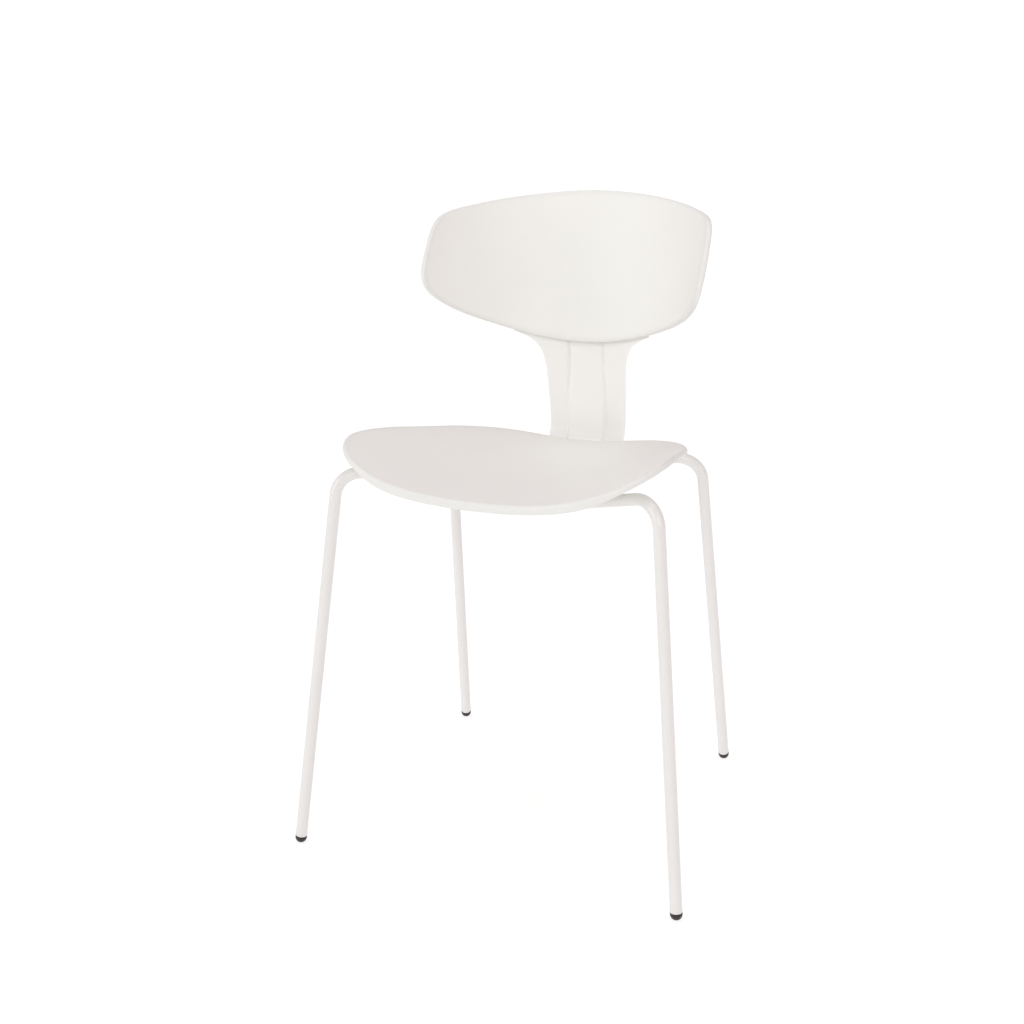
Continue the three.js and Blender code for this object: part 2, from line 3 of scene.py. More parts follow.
import bmesh
import bpy
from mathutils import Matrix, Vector


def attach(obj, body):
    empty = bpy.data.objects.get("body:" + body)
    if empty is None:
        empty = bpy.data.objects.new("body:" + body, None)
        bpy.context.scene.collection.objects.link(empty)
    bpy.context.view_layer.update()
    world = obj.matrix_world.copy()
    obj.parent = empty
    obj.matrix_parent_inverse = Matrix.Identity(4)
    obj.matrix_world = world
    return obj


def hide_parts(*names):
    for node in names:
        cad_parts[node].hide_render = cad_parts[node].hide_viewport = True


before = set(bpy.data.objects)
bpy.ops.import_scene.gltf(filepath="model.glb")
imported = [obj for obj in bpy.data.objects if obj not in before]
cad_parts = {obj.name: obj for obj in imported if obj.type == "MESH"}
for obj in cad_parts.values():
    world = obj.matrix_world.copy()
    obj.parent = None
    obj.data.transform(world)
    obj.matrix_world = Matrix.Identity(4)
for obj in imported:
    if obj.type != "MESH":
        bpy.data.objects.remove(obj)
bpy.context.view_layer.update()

# A white stacking chair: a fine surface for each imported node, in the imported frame. The front is at
# -Y, and +X is on the right when seen from the front. The design's numbers are in millimetres, as
# in the part's source, unless a comment says otherwise, and MM turns them into metres.
MM = 0.001

TUBE_RADIUS = 7.0
TUBE_BORE = 5.5
TUBE_LIP = 0.4           # the softened edge round each open end
TUBE_SIDES = 56
TUBE_SPACING = 20.0      # the longest step along a straight run
BEND_STEPS = 28
KINK_RADIUS = 60.0
KINK_STEPS = 12
CROSS_HALF = 54.0
# The right leg of each frame, which the left one mirrors: its foot, its lean for each millimetre of
# height, the height of its upper corner, the bend there, and where its run crosses under the seat.
FRONT_LEG = {
    "foot": (240.3, -213.0), "lean": (-0.1005, 0.0918), "corner": 473.7, "bend": 30.0,
    "cross_y": -96.0,
}
REAR_LEG = {
    "foot": (198.2, 213.0), "lean": (-0.0565, -0.2215), "corner": 460.8, "bend": 33.0,
    "cross_y": 86.0,
}
FRAMES = {"front": FRONT_LEG, "rear": REAR_LEG}

# The fillet welds beside each level run: centred this far beside the tube's middle and below the
# tongue's underside.
WELD = {"radius": 2.0, "half": 33.0, "aside": 4.2, "below": 1.3, "steps": 90, "sides": 14}
WELD_TAPER = 8           # the power of its taper, higher for blunter ends
WELD_LEAST = 0.02        # its size at the very ends, as a share
WELD_RIPPLE = (0.07, 2.1)    # how much its size changes along it, and how fast

# A glide's dome, collar and stem. Its root and tip are how far their corners reach across and up.
GLIDE = {
    "radius": 7.2, "centre": 6.5, "top": 8.0, "stem": 5.1, "stem_top": 32.0,
    "edge": 0.35, "bevel": 0.1, "root": (0.2, 0.3), "tip": (1.0, 2.0),
}
GLIDE_STEPS = 22

# Polynomials start with their constant term. The seat's level is a height over y, and its dish is
# what multiplies x squared, also over y. An outline gives the right half only.
SEAT_THICKNESS = 6.8
SEAT_LIP = 4.5
SEAT_LIP_ZONE = {"from": -150.0, "run": 45.0, "half": 110.0, "fade": 60.0}
SEAT_LEVEL = (454.1, 0.0018, 5.3e-5)
SEAT_DISH = (1.136e-3, -2.6e-6, 5.1e-9, 7.5e-11)
SEAT_MIDDLE = (0.0, -40.0)
SEAT_OUTLINE = (
    (0, -198.5), (53, -204), (101, -211.5), (149, -203), (179, -180.5), (193, -146),
    (192.5, -96), (182, -7), (151, 88), (104, 139), (63, 153.5), (0, 153.5),
)

# The backrest's wrap is its radius at BACK_HEIGHT and what a millimetre of height adds, and its
# depth is the front face's y over the height above BACK_HEIGHT. Its outline is measured round the
# wrap and up.
BACK_THICKNESS = 7.0
BACK_WRAP = (183.5, 0.176)
BACK_DEPTH = (175.1, 0.275, 0.00032)
BACK_HEIGHT = 680.0
BACK_MIDDLE = (0.0, 688.0)
BACK_OUTLINE = (
    (0, 779.5), (101, 771.7), (177, 759.2), (211, 751.5), (223.5, 741), (228.5, 720), (235.5, 697),
    (239.4, 678), (232, 662), (210.5, 647.8), (171.5, 628.8), (118, 609.8), (60, 593), (0, 586.2),
)

OUTLINE_POINTS = 360
RIM_SQUARENESS = 2.5     # 2 is a half round, more is squarer
RIM_STEPS = 14
RIM_FADE = 9.0           # how far in from the edge the rim's painted shade and wear reach
FACE_RINGS = 44

# The spine is a level tongue under the seat, a bend, a web and a T-shaped head that follows the
# backrest. WEB_LINE is (height, y) of the web's front face.
SPINE_THICKNESS = 3.5
SPINE_EDGE = 0.7
TONGUE_TOP = 445.0
TONGUE_FRONT = -116.0
TONGUE_HALF = 44.0
TONGUE_CORNER = 14.0
TONGUE_WIDENING = {"start": 95.0, "run": 50.0}
BEND_INSIDE = 28.5
WEB_HALF = 52.4
WEB_TAPER = 0.03
WEB_TAPER_FROM = 475.0
WEB_LINE = ((500, 173.2), (530, 170.2), (560, 167.2), (584, 165), (600, 164.6))
FLARE = 36.0
FLARE_FADE = 13.0
HEAD_HALF = 97.0
HEAD_BOTTOM = 597.0
HEAD_TOP = 652.0
HEAD_CORNER = 14.0
HEAD_GAP = 2.2
HEAD_WRAP = {"from": 485.0, "run": 105.0}
LEAST_CURVATURE = 1e-6   # stands for a flat sheet, so that it can be divided by

# The flat middle strip of the spine, each value first at the web's foot and then at the head.
STRIP_HALF = (22.5, 20.3)
STRIP_RISE = (6.0, 0.4)
CREASE_WIDTH = (7.5, 5.5)
CREASE_DEPTH = (1.2, 1.9)
STRIP_TONGUE = {"start": 88.0, "run": 40.0, "rise": 2.6, "lift": 28.0}
STRIP_CHANGE = {"from": 470.0, "width_run": 115.0, "rise_run": 75.0}
LEAST_WING = 2.0         # the least sheet left outside a crease

# How far apart the spine's rows are, and how many points and smoothing passes it has.
TONGUE_ROWS = {"corner": 0.6, "straight": 2.5, "least": 0.5}
WEB_ROWS = {"straight": 2.0, "flare": 1.0, "flare_from": 575.0, "flare_to": 602.0}
SPINE_STEPS = {"bend": 30, "corner": 14, "strip": 10, "crease": 18, "wing": 16}
SPINE_SMOOTHING = 6

# A clip on a tube's run: the x of its middle and its outer radius, and half its open mouth's angle.
BUFFERS = {"front": (100.0, 13.3), "rear": (96.0, 12.8)}
BUFFER_LENGTH = 22.0
BUFFER_MOUTH = math.pi * 0.4
BUFFER_EDGE = 0.8
BUFFER_STEPS = 40
BUFFER_STATIONS = 5

SEAT_SCREW = {"head": 6.0, "height": 3.5, "shank": 2.8, "length": 9.5}
BACK_SCREW = {"head": 5.0, "height": 2.8, "shank": 2.3, "length": 9.0}
SEAT_SCREW_SPOTS = ((-32, -70), (32, -70), (-32, 58), (32, 58))
BACK_SCREW_SPOTS = ((-64, 612), (64, 612), (-64, 638), (64, 638))
SCREW_SIDES = 48
SCREW_TIP = 0.6          # the bevel at the tip
SCREW_EDGE = 0.15        # the bevel under the head
SCREW_COLLAR = 0.22      # the head's straight side, as a share of its height
SCREW_CROWN = 0.62       # where its rounding ends, as a share of its radius
SCREW_ROUNDING = 9
# The rings of the socket: a share of the radius, a share of the height and millimetres added to it,
# and how hexagonal the ring is. Then the height of the socket's floor, as a share.
SCREW_SOCKET = (
    (0.56, 1.0, 0.0, 0.0), (0.46, 1.0, 0.0, 0.6), (0.44, 1.0, -0.25, 1.0), (0.42, 0.35, 0.0, 1.0),
)
SCREW_FLOOR = 0.28

SEAT_BOSS_RADIUS = 9.0
BACK_BOSS_RADIUS = 8.0
BACK_BOSS_CLEARANCE = 0.8
BOSS_SINK = 0.6          # how far a boss's root starts inside its shell
BOSS_FLARE = {"out": 3.0, "up": 2.4, "from": 0.1, "steps": 10}
BOSS_SKIRT = {"out": 3.4, "down": 0.4, "middle_down": 0.5}
BOSS_END = {"edge": 0.5, "bevel": 0.15}
GAP = 0.3


# ---------------------------------------------------------------- small helpers
def ease(x):
    t = min(1.0, max(0.0, x))
    return t * t * (3 - 2 * t)


def polynomial(coefficients, x):
    total = 0.0
    for c in reversed(coefficients):
        total = total * x + c
    return total


def new_piece(name, points, faces, material, nodes=()):
    """A smooth-shaded piece from points in millimetres, standing for the CAD nodes that are named."""
    mesh = bpy.data.meshes.new(name)
    mesh.from_pydata([tuple(c * MM for c in p) for p in points], [], faces)
    mesh.validate()
    for polygon in mesh.polygons:
        polygon.use_smooth = True
    piece = bpy.data.objects.new(name, mesh)
    bpy.context.scene.collection.objects.link(piece)
    mesh.materials.append(material)
    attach(piece, "root")
    if nodes:
        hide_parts(*nodes)
    return piece


def add_attribute(piece, name, values):
    """Gives each point of a piece a number that its material can read."""
    layer = piece.data.attributes.new(name, "FLOAT", "POINT")
    layer.data.foreach_set("value", values)


def soften_edges(piece, width, segments=3, least_angle=50):
    """Rounds the sharp edges of a piece by a width in millimetres."""
    bm = bmesh.new()
    bm.from_mesh(piece.data)
    bm.normal_update()
    limit = math.radians(least_angle)
    sharp = [e for e in bm.edges if len(e.link_faces) == 2 and e.calc_face_angle() > limit]
    bmesh.ops.bevel(bm, geom=sharp, offset=width * MM, segments=segments, affect="EDGES", profile=0.5)
    for face in bm.faces:
        face.smooth = True
    bm.to_mesh(piece.data)
    bm.free()


def grid_faces(rows, columns, closed_columns=False, flip=False):
    faces = []
    last = columns if closed_columns else columns - 1
    for i in range(rows - 1):
        for j in range(last):
            k = (j + 1) % columns
            quad = (i * columns + j, i * columns + k, (i + 1) * columns + k, (i + 1) * columns + j)
            faces.append(quad[::-1] if flip else quad)
    return faces


def unit_circle(sides):
    return [(math.cos(2 * math.pi * k / sides), math.sin(2 * math.pi * k / sides)) for k in range(sides)]


def capped(rings, first, last):
    """Points and faces of rings of points, closed by a fan to one point at each end."""
    sides = len(rings[0])
    points = [first] + [p for ring in rings for p in ring] + [last]
    base = 1 + (len(rings) - 1) * sides
    faces = []
    for j in range(sides):
        k = (j + 1) % sides
        faces.append((0, 1 + k, 1 + j))
        for i in range(len(rings) - 1):
            a, b = 1 + i * sides + j, 1 + i * sides + k
            faces.append((a, b, b + sides, a + sides))
        faces.append((base + j, base + k, len(points) - 1))
    return points, faces


def turned(profile, sides=48):
    """Points and faces of a profile of (radius, height) turned about +Z, with both ends on the axis."""
    circle = unit_circle(sides)
    rings = [[(radius * a, radius * b, height) for a, b in circle] for radius, height in profile[1:-1]]
    return capped(rings, (0, 0, profile[0][1]), (0, 0, profile[-1][1]))


def aimed(points, position, direction):
    """Points turned from +Z to a direction, and then moved to a position."""
    turn = Vector((0, 0, 1)).rotation_difference(Vector(direction).normalized()).to_matrix()
    place = Vector(position)
    return [tuple(turn @ Vector(p) + place) for p in points]


# ---------------------------------------------------------------- outlines and sheets
def closed_outline(half, count):
    """Evenly spaced points of a smooth closed curve through the right half's points and their mirrors."""
    left = [(-u, v) for u, v in reversed(half[1:-1])]
    knots = [Vector((u, v)) for u, v in list(half) + left]
    n = len(knots)
    dense = []
    steps = 60
    for i in range(n):
        p0, p1, p2, p3 = (knots[(i + k) % n] for k in (-1, 0, 1, 2))
        d0, d1, d2 = (max((b - a).length ** 0.5, 1e-4) for a, b in ((p0, p1), (p1, p2), (p2, p3)))
        t1 = ((p1 - p0) / d0 - (p2 - p0) / (d0 + d1) + (p2 - p1) / d1) * d1
        t2 = ((p2 - p1) / d1 - (p3 - p1) / (d1 + d2) + (p3 - p2) / d2) * d1
        square = 3 * (p2 - p1) - 2 * t1 - t2
        cube = 2 * (p1 - p2) + t1 + t2
        for s in range(steps):
            t = s / steps
            dense.append(p1 + t1 * t + square * t * t + cube * t ** 3)
    even = spaced(dense, count)
    smoothing = count // 12
    for _ in range(smoothing):
        even = [(even[i - 1] + even[i] * 2 + even[(i + 1) % count]) / 4 for i in range(count)]
    return even


def spaced(points, count):
    """Points at equal distances round a closed polyline."""
    n = len(points)
    marks = [0.0]
    for i in range(n):
        marks.append(marks[-1] + (points[(i + 1) % n] - points[i]).length)
    result = []
    i = 0
    for k in range(count):
        goal = marks[-1] * k / count
        while marks[i + 1] < goal:
            i += 1
        share = (goal - marks[i]) / (marks[i + 1] - marks[i])
        result.append(points[i].lerp(points[(i + 1) % n], share))
    return result


def sheet_point(surface, u, v, offset):
    """The surface's point at (u, v), moved off it along its normal."""
    step = 0.5
    along = surface(u + step, v) - surface(u - step, v)
    across = surface(u, v + step) - surface(u, v - step)
    return surface(u, v) + along.cross(across).normalized() * offset


def shell_piece(name, surface, outline, middle, thickness_at, material, node):
    """A shell laid out as rings from the middle of its front face, round its rim and back behind it."""
    rings = [(i / FACE_RINGS, 1.0, 0.0) for i in range(1, FACE_RINGS + 1)]
    power = 2 / RIM_SQUARENESS
    for i in range(1, RIM_STEPS):
        angle = math.pi / 2 - math.pi * i / RIM_STEPS
        reach = abs(math.cos(angle)) ** power
        lift = math.copysign(abs(math.sin(angle)) ** power, angle)
        rings.append((1.0, 1 - reach, (1 - lift) / 2))
    rings += [(i / FACE_RINGS, 1.0, 1.0) for i in range(FACE_RINGS, 0, -1)]

    count = len(outline)
    points = [sheet_point(surface, *middle, 0)]
    rim = [0.0]
    for share, inset, depth in rings:
        for edge in outline:
            half = thickness_at(edge.x, edge.y) / 2
            du, dv = edge.x - middle[0], edge.y - middle[1]
            reach = math.hypot(du, dv)
            scale = share * (reach - inset * half) / reach
            u, v = middle[0] + du * scale, middle[1] + dv * scale
            points.append(sheet_point(surface, u, v, -depth * thickness_at(u, v)))
            rim.append(ease(1 - (1 - scale) * reach / RIM_FADE))
    points.append(sheet_point(surface, *middle, -thickness_at(*middle)))
    rim.append(0.0)

    last = len(points) - 1
    faces = []
    for j in range(count):
        k = (j + 1) % count
        faces.append((0, 1 + j, 1 + k))
        for i in range(len(rings) - 1):
            a, b = 1 + i * count + j, 1 + i * count + k
            faces.append((a, a + count, b + count, b))
        base = 1 + (len(rings) - 1) * count
        faces.append((last, base + k, base + j))
    piece = new_piece(name, points, faces, material, [node])
    add_attribute(piece, "rim", rim)
    return piece


def seat_surface(x, y):
    return Vector((x, y, polynomial(SEAT_LEVEL, y) + polynomial(SEAT_DISH, y) * x * x))


def seat_thickness(x, y):
    forward = ease((SEAT_LIP_ZONE["from"] - y) / SEAT_LIP_ZONE["run"])
    central = 1 - ease((abs(x) - SEAT_LIP_ZONE["half"]) / SEAT_LIP_ZONE["fade"])
    return SEAT_THICKNESS + SEAT_LIP * forward * central


def wrap_radius(z):
    return BACK_WRAP[0] + BACK_WRAP[1] * (z - BACK_HEIGHT)


def back_depth(z):
    return polynomial(BACK_DEPTH, z - BACK_HEIGHT)


def back_surface(u, z):
    radius = wrap_radius(z)
    angle = u / radius
    return Vector((radius * math.sin(angle), back_depth(z) - radius * (1 - math.cos(angle)), z))


def behind_back(u, z, distance):
    """A point behind the backrest's front face, and the way out of the back."""
    point = sheet_point(back_surface, u, z, -distance)
    return point, (point - back_surface(u, z)).normalized()


# ---------------------------------------------------------------- materials
def new_material(name):
    material = bpy.data.materials.new(name)
    material.use_nodes = True
    nodes = material.node_tree.nodes
    return material, nodes, material.node_tree.links, nodes["Principled BSDF"]


def noise_node(nodes, links, coordinates, scale, detail=3.0, roughness=0.5):
    """Noise from 0 to 1, with its scale in features per metre."""
    node = nodes.new("ShaderNodeTexNoise")
    node.inputs["Scale"].default_value = scale
    node.inputs["Detail"].default_value = detail
    node.inputs["Roughness"].default_value = roughness
    links.new(coordinates, node.inputs["Vector"])
    return node.outputs["Fac"]


def map_range(nodes, links, value, source, target):
    """Turns a value in the (low, high) source range into the target range, held to its ends."""
    node = nodes.new("ShaderNodeMapRange")
    for end, pair in (("From", source), ("To", target)):
        node.inputs[end + " Min"].default_value, node.inputs[end + " Max"].default_value = pair
    links.new(value, node.inputs["Value"])
    return node.outputs["Result"]


def mix_colour(nodes, links, factor, first, second):
    node = nodes.new("ShaderNodeMix")
    node.data_type = "RGBA"
    links.new(factor, node.inputs[0])
    for socket, colour in ((node.inputs[6], first), (node.inputs[7], second)):
        if isinstance(colour, tuple):
            socket.default_value = (*colour, 1)
        else:
            links.new(colour, socket)
    return node.outputs[2]


def arithmetic(nodes, links, operation, first, second):
    node = nodes.new("ShaderNodeMath")
    node.operation = operation
    for socket, value in ((node.inputs[0], first), (node.inputs[1], second)):
        if isinstance(value, (int, float)):
            socket.default_value = value
        else:
            links.new(value, socket)
    return node.outputs[0]


def bump(nodes, links, height, strength, distance, below=None):
    node = nodes.new("ShaderNodeBump")
    node.inputs["Strength"].default_value = strength
    node.inputs["Distance"].default_value = distance
    links.new(height, node.inputs["Height"])
    if below:
        links.new(below, node.inputs["Normal"])
    return node.outputs["Normal"]


def object_coordinates(nodes):
    return nodes.new("ShaderNodeTexCoord").outputs["Object"]


def lacquered_shell():
    """Satin off-white lacquer with a faint peel, painted darker round the rim as painted shade, and
    glossier there with wear.
    """
    material, nodes, links, shader = new_material("shell_lacquer")
    where = object_coordinates(nodes)
    cloud = noise_node(nodes, links, where, scale=7.0, detail=2.0)
    tone = mix_colour(nodes, links, cloud, (0.80, 0.79, 0.765), (0.84, 0.832, 0.805))
    rim = nodes.new("ShaderNodeAttribute")
    rim.attribute_name = "rim"
    rim_shade_and_wear_noise = map_range(nodes, links, noise_node(nodes, links, where, scale=60.0), (0.0, 1.0), (0.35, 0.65))
    rim_shade_and_wear = arithmetic(nodes, links, "MULTIPLY", rim.outputs["Fac"], rim_shade_and_wear_noise)
    # Painted shade: the rim is painted darker in a patchy band. The same band also makes it glossier, as
    # wear.
    colour = mix_colour(nodes, links, rim_shade_and_wear, tone, (0.71, 0.705, 0.685))
    links.new(colour, shader.inputs["Base Color"])
    mottle = noise_node(nodes, links, where, scale=45.0, detail=4.0)
    rough = map_range(nodes, links, mottle, (0.3, 0.7), (0.46, 0.56))
    polished = arithmetic(nodes, links, "MULTIPLY", rim_shade_and_wear, -0.10)
    links.new(arithmetic(nodes, links, "ADD", rough, polished), shader.inputs["Roughness"])
    peel = noise_node(nodes, links, where, scale=520.0, detail=2.0)
    ripple = noise_node(nodes, links, where, scale=28.0, detail=1.0)
    first = bump(nodes, links, ripple, strength=0.05, distance=0.001)
    both = bump(nodes, links, peel, strength=0.10, distance=0.0002, below=first)
    links.new(both, shader.inputs["Normal"])
    shader.inputs["IOR"].default_value = 1.47
    return material


def powder_coat(name, dark, light):
    """Glossy white powder coat with a slightly uneven tone and gloss and a fine orange peel."""
    material, nodes, links, shader = new_material(name)
    where = object_coordinates(nodes)
    cloud = noise_node(nodes, links, where, scale=12.0, detail=2.0)
    links.new(mix_colour(nodes, links, cloud, dark, light), shader.inputs["Base Color"])
    mottle = noise_node(nodes, links, where, scale=40.0, detail=3.0)
    links.new(map_range(nodes, links, mottle, (0.0, 1.0), (0.13, 0.18)), shader.inputs["Roughness"])
    peel = noise_node(nodes, links, where, scale=700.0, detail=2.0)
    links.new(bump(nodes, links, peel, strength=0.06, distance=0.00006), shader.inputs["Normal"])
    shader.inputs["IOR"].default_value = 1.6
    return material


def dark_moulding():
    """Nearly black plastic, scuffed paler over its lowest millimetres, given here in metres."""
    material, nodes, links, shader = new_material("glide_moulding")
    where = object_coordinates(nodes)
    split = nodes.new("ShaderNodeSeparateXYZ")
    links.new(where, split.inputs["Vector"])
    scratches = noise_node(nodes, links, where, scale=1400.0, detail=4.0, roughness=0.7)
    low = map_range(nodes, links, split.outputs["Z"], (0.0005, 0.004), (1.0, 0.0))
    scuff = arithmetic(nodes, links, "MULTIPLY", low, scratches)
    colour = mix_colour(nodes, links, scuff, (0.022, 0.010, 0.013), (0.085, 0.06, 0.06))
    links.new(colour, shader.inputs["Base Color"])
    links.new(map_range(nodes, links, scuff, (0.0, 0.6), (0.30, 0.75)), shader.inputs["Roughness"])
    grain = noise_node(nodes, links, where, scale=2600.0, detail=2.0)
    links.new(bump(nodes, links, grain, strength=0.25, distance=0.00008), shader.inputs["Normal"])
    return material


def soft_plastic():
    """Milky soft plastic for the clips under the seat."""
    material, nodes, links, shader = new_material("soft_plastic")
    where = object_coordinates(nodes)
    cloud = noise_node(nodes, links, where, scale=120.0, detail=3.0)
    colour = mix_colour(nodes, links, cloud, (0.66, 0.65, 0.62), (0.74, 0.73, 0.70))
    links.new(colour, shader.inputs["Base Color"])
    links.new(map_range(nodes, links, cloud, (0.3, 0.7), (0.5, 0.65)), shader.inputs["Roughness"])
    grain = noise_node(nodes, links, where, scale=1500.0, detail=2.0)
    links.new(bump(nodes, links, grain, strength=0.15, distance=0.0001), shader.inputs["Normal"])
    shader.inputs["Subsurface Weight"].default_value = 0.15
    shader.inputs["Subsurface Scale"].default_value = 0.002
    return material


def plated_metal(name, dark, light, smoothest, roughest):
    material, nodes, links, shader = new_material(name)
    where = object_coordinates(nodes)
    cloud = noise_node(nodes, links, where, scale=500.0, detail=4.0)
    links.new(mix_colour(nodes, links, cloud, dark, light), shader.inputs["Base Color"])
    rough = map_range(nodes, links, cloud, (0.3, 0.7), (smoothest, roughest))
    links.new(rough, shader.inputs["Roughness"])
    lines = noise_node(nodes, links, where, scale=4000.0, detail=2.0)
    links.new(bump(nodes, links, lines, strength=0.2, distance=0.00005), shader.inputs["Normal"])
    shader.inputs["Metallic"].default_value = 1.0
    return material


SHELL = lacquered_shell()
# One white powder coat in two copies. The sheet's copy is painted lighter, as painted light. The copy for
# the tubes and welds is painted darker, as painted shade.
SHEET_PAINT_LIT = powder_coat("sheet_powder_coat_lit", dark=(0.885, 0.872, 0.856), light=(0.920, 0.911, 0.896))
TUBE_PAINT_SHADED = powder_coat("tube_powder_coat_shaded", dark=(0.735, 0.714, 0.697), light=(0.767, 0.748, 0.732))
MOULDING = dark_moulding()
SOFT = soft_plastic()
ZINC = plated_metal("zinc_plate", (0.50, 0.51, 0.52), (0.66, 0.67, 0.68), smoothest=0.26, roughest=0.40)
BRASS = plated_metal("brass_turned", (0.58, 0.42, 0.17), (0.70, 0.53, 0.25), smoothest=0.30, roughest=0.44)


# ---------------------------------------------------------------- spine
def web_depth(z):
    """The y of the spine's front face on the centre line, which follows the backrest up at the head."""
    if z >= WEB_LINE[-1][0]:
        slope = BACK_DEPTH[1] + 2 * BACK_DEPTH[2] * (z - BACK_HEIGHT)
        return back_depth(z) + (BACK_THICKNESS + HEAD_GAP) * math.hypot(1, slope)
    i = 1
    while i < len(WEB_LINE) - 1 and WEB_LINE[i][0] <= z:
        i += 1
    (z0, y0), (z1, y1) = WEB_LINE[i - 1], WEB_LINE[i]
    return y0 + (y1 - y0) * (z - z0) / (z1 - z0)


def spine_line():
    """(y, z) points of the spine's front face on the centre line, from the tongue's front to the top."""
    slope = (WEB_LINE[1][1] - WEB_LINE[0][1]) / (WEB_LINE[1][0] - WEB_LINE[0][0])
    lean = math.atan(-slope)
    bend_z = TONGUE_TOP + BEND_INSIDE * (1 + math.sin(lean))
    bend_y = WEB_LINE[0][1] + slope * (bend_z - WEB_LINE[0][0])
    centre_y = bend_y - BEND_INSIDE * math.cos(lean)
    line = []
    distance = 0.0
    while TONGUE_FRONT + distance < centre_y - TONGUE_ROWS["least"]:
        line.append((TONGUE_FRONT + distance, TONGUE_TOP))
        distance += TONGUE_ROWS["corner" if distance < TONGUE_CORNER else "straight"]
    steps = SPINE_STEPS["bend"]
    for i in range(steps + 1):
        angle = -math.pi / 2 + (math.pi / 2 + lean) * i / steps
        y = centre_y + BEND_INSIDE * math.cos(angle)
        line.append((y, TONGUE_TOP + BEND_INSIDE + BEND_INSIDE * math.sin(angle)))
    z = bend_z + WEB_ROWS["straight"]
    while z < HEAD_TOP - HEAD_CORNER:
        line.append((web_depth(z), z))
        z += WEB_ROWS["flare" if WEB_ROWS["flare_from"] < z < WEB_ROWS["flare_to"] else "straight"]
    steps = SPINE_STEPS["corner"]
    for i in range(steps + 1):
        z = HEAD_TOP - HEAD_CORNER * (1 - math.sin(math.pi / 2 * i / steps))
        line.append((web_depth(z), z))
    for _ in range(SPINE_SMOOTHING):
        for i in range(len(line) - 2, 0, -1):
            y = (line[i - 1][0] + 2 * line[i][0] + line[i + 1][0]) / 4
            if line[i][1] > TONGUE_TOP + BEND_INSIDE:
                line[i] = (y, line[i][1])
    return line


def rounded_end(half, corner, distance):
    """Half width of a sheet at a distance from its end, where the corners are round."""
    short = max(0.0, corner - distance)
    return half - corner + math.sqrt(max(0.0, corner * corner - short * short))


def on_tongue(z):
    return z < TONGUE_TOP + 1


def spine_half(y, z):
    if on_tongue(z):
        widening = ease((y - TONGUE_WIDENING["start"]) / TONGUE_WIDENING["run"])
        widened = TONGUE_HALF + (WEB_HALF - TONGUE_HALF) * widening
        return rounded_end(widened, TONGUE_CORNER, y - TONGUE_FRONT) if y < 0 else widened
    flare = FLARE * math.exp((z - HEAD_BOTTOM) / FLARE_FADE)
    widened = WEB_HALF + WEB_TAPER * max(0.0, z - WEB_TAPER_FROM) + flare
    return rounded_end(min(widened, HEAD_HALF), HEAD_CORNER, HEAD_TOP - z)


def between(pair, share):
    return pair[0] + (pair[1] - pair[0]) * share


def strip_at(y, z):
    """Half width and rise of the spine's middle strip, then the width and depth of its creases."""
    fade = ease((y - STRIP_TONGUE["start"]) / STRIP_TONGUE["run"]) if on_tongue(z) else 1.0
    widths = ease((z - STRIP_CHANGE["from"]) / STRIP_CHANGE["width_run"])
    rises = ease((z - STRIP_CHANGE["from"]) / STRIP_CHANGE["rise_run"])
    lifted = ease((z - TONGUE_TOP) / STRIP_TONGUE["lift"])
    rise = between((STRIP_TONGUE["rise"], between(STRIP_RISE, rises)), lifted)
    groove = between(CREASE_DEPTH, rises)
    return between(STRIP_HALF, widths), rise * fade, between(CREASE_WIDTH, widths), groove * fade


def spine_curvature(z):
    """How much the spine bends round the backrest at a height, as one over the radius."""
    radius = wrap_radius(max(z, HEAD_BOTTOM)) + BACK_THICKNESS + HEAD_GAP
    return LEAST_CURVATURE + ease((z - HEAD_WRAP["from"]) / HEAD_WRAP["run"]) / radius


def spine_section(y, z):
    """(across, forward, share of the wrap) from the left edge of the spine's front face to the right."""
    strip_steps, crease_steps, wing_steps = (SPINE_STEPS[key] for key in ("strip", "crease", "wing"))
    middle, rise, crease, groove = strip_at(y, z)
    half = spine_half(y, z)
    edge = min(middle + crease, half - LEAST_WING)
    right = [(middle * s / strip_steps, rise, 0.0) for s in range(strip_steps + 1)]
    for s in range(1, crease_steps + 1):
        share = s / crease_steps
        height = rise * (1 - ease(share)) - groove * math.sin(math.pi * share) ** 2
        right.append((middle + share * (edge - middle), height, ease(share)))
    right += [(edge + (half - edge) * s / wing_steps, 0.0, 1.0) for s in range(1, wing_steps + 1)]
    return [(-u, h, w) for u, h, w in reversed(right[1:])] + right


def spine_piece():
    line = spine_line()
    front, rear = [], []
    for i, (y, z) in enumerate(line):
        before, after = line[max(0, i - 1)], line[min(len(line) - 1, i + 1)]
        run = Vector((after[0] - before[0], after[1] - before[1])).normalized()
        normal = Vector((0, -run.y, run.x))
        across = spine_section(y, z)
        bend = spine_curvature(z)
        for side, depth in ((front, 0.0), (rear, -SPINE_THICKNESS)):
            for u, h, wrapped in across:
                forward = wrapped * (1 - math.cos(bend * u)) / bend
                side.append(Vector((math.sin(bend * u) / bend, y - forward, z)) + normal * (h + depth))
    rows, columns = len(line), len(across)
    offset = rows * columns
    faces = grid_faces(rows, columns)
    faces += [tuple(offset + k for k in quad) for quad in grid_faces(rows, columns, flip=True)]
    border = list(range(columns))
    border += [i * columns + columns - 1 for i in range(1, rows)]
    border += [(rows - 1) * columns + j for j in range(columns - 2, -1, -1)]
    border += [i * columns for i in range(rows - 2, 0, -1)]
    for a, b in zip(border, border[1:] + border[:1]):
        faces.append((b, a, a + offset, b + offset))
    piece = new_piece("spine_bracket_fine", front + rear, faces, SHEET_PAINT_LIT,
                      ["spine_bracket"])
    soften_edges(piece, SPINE_EDGE)
    return piece


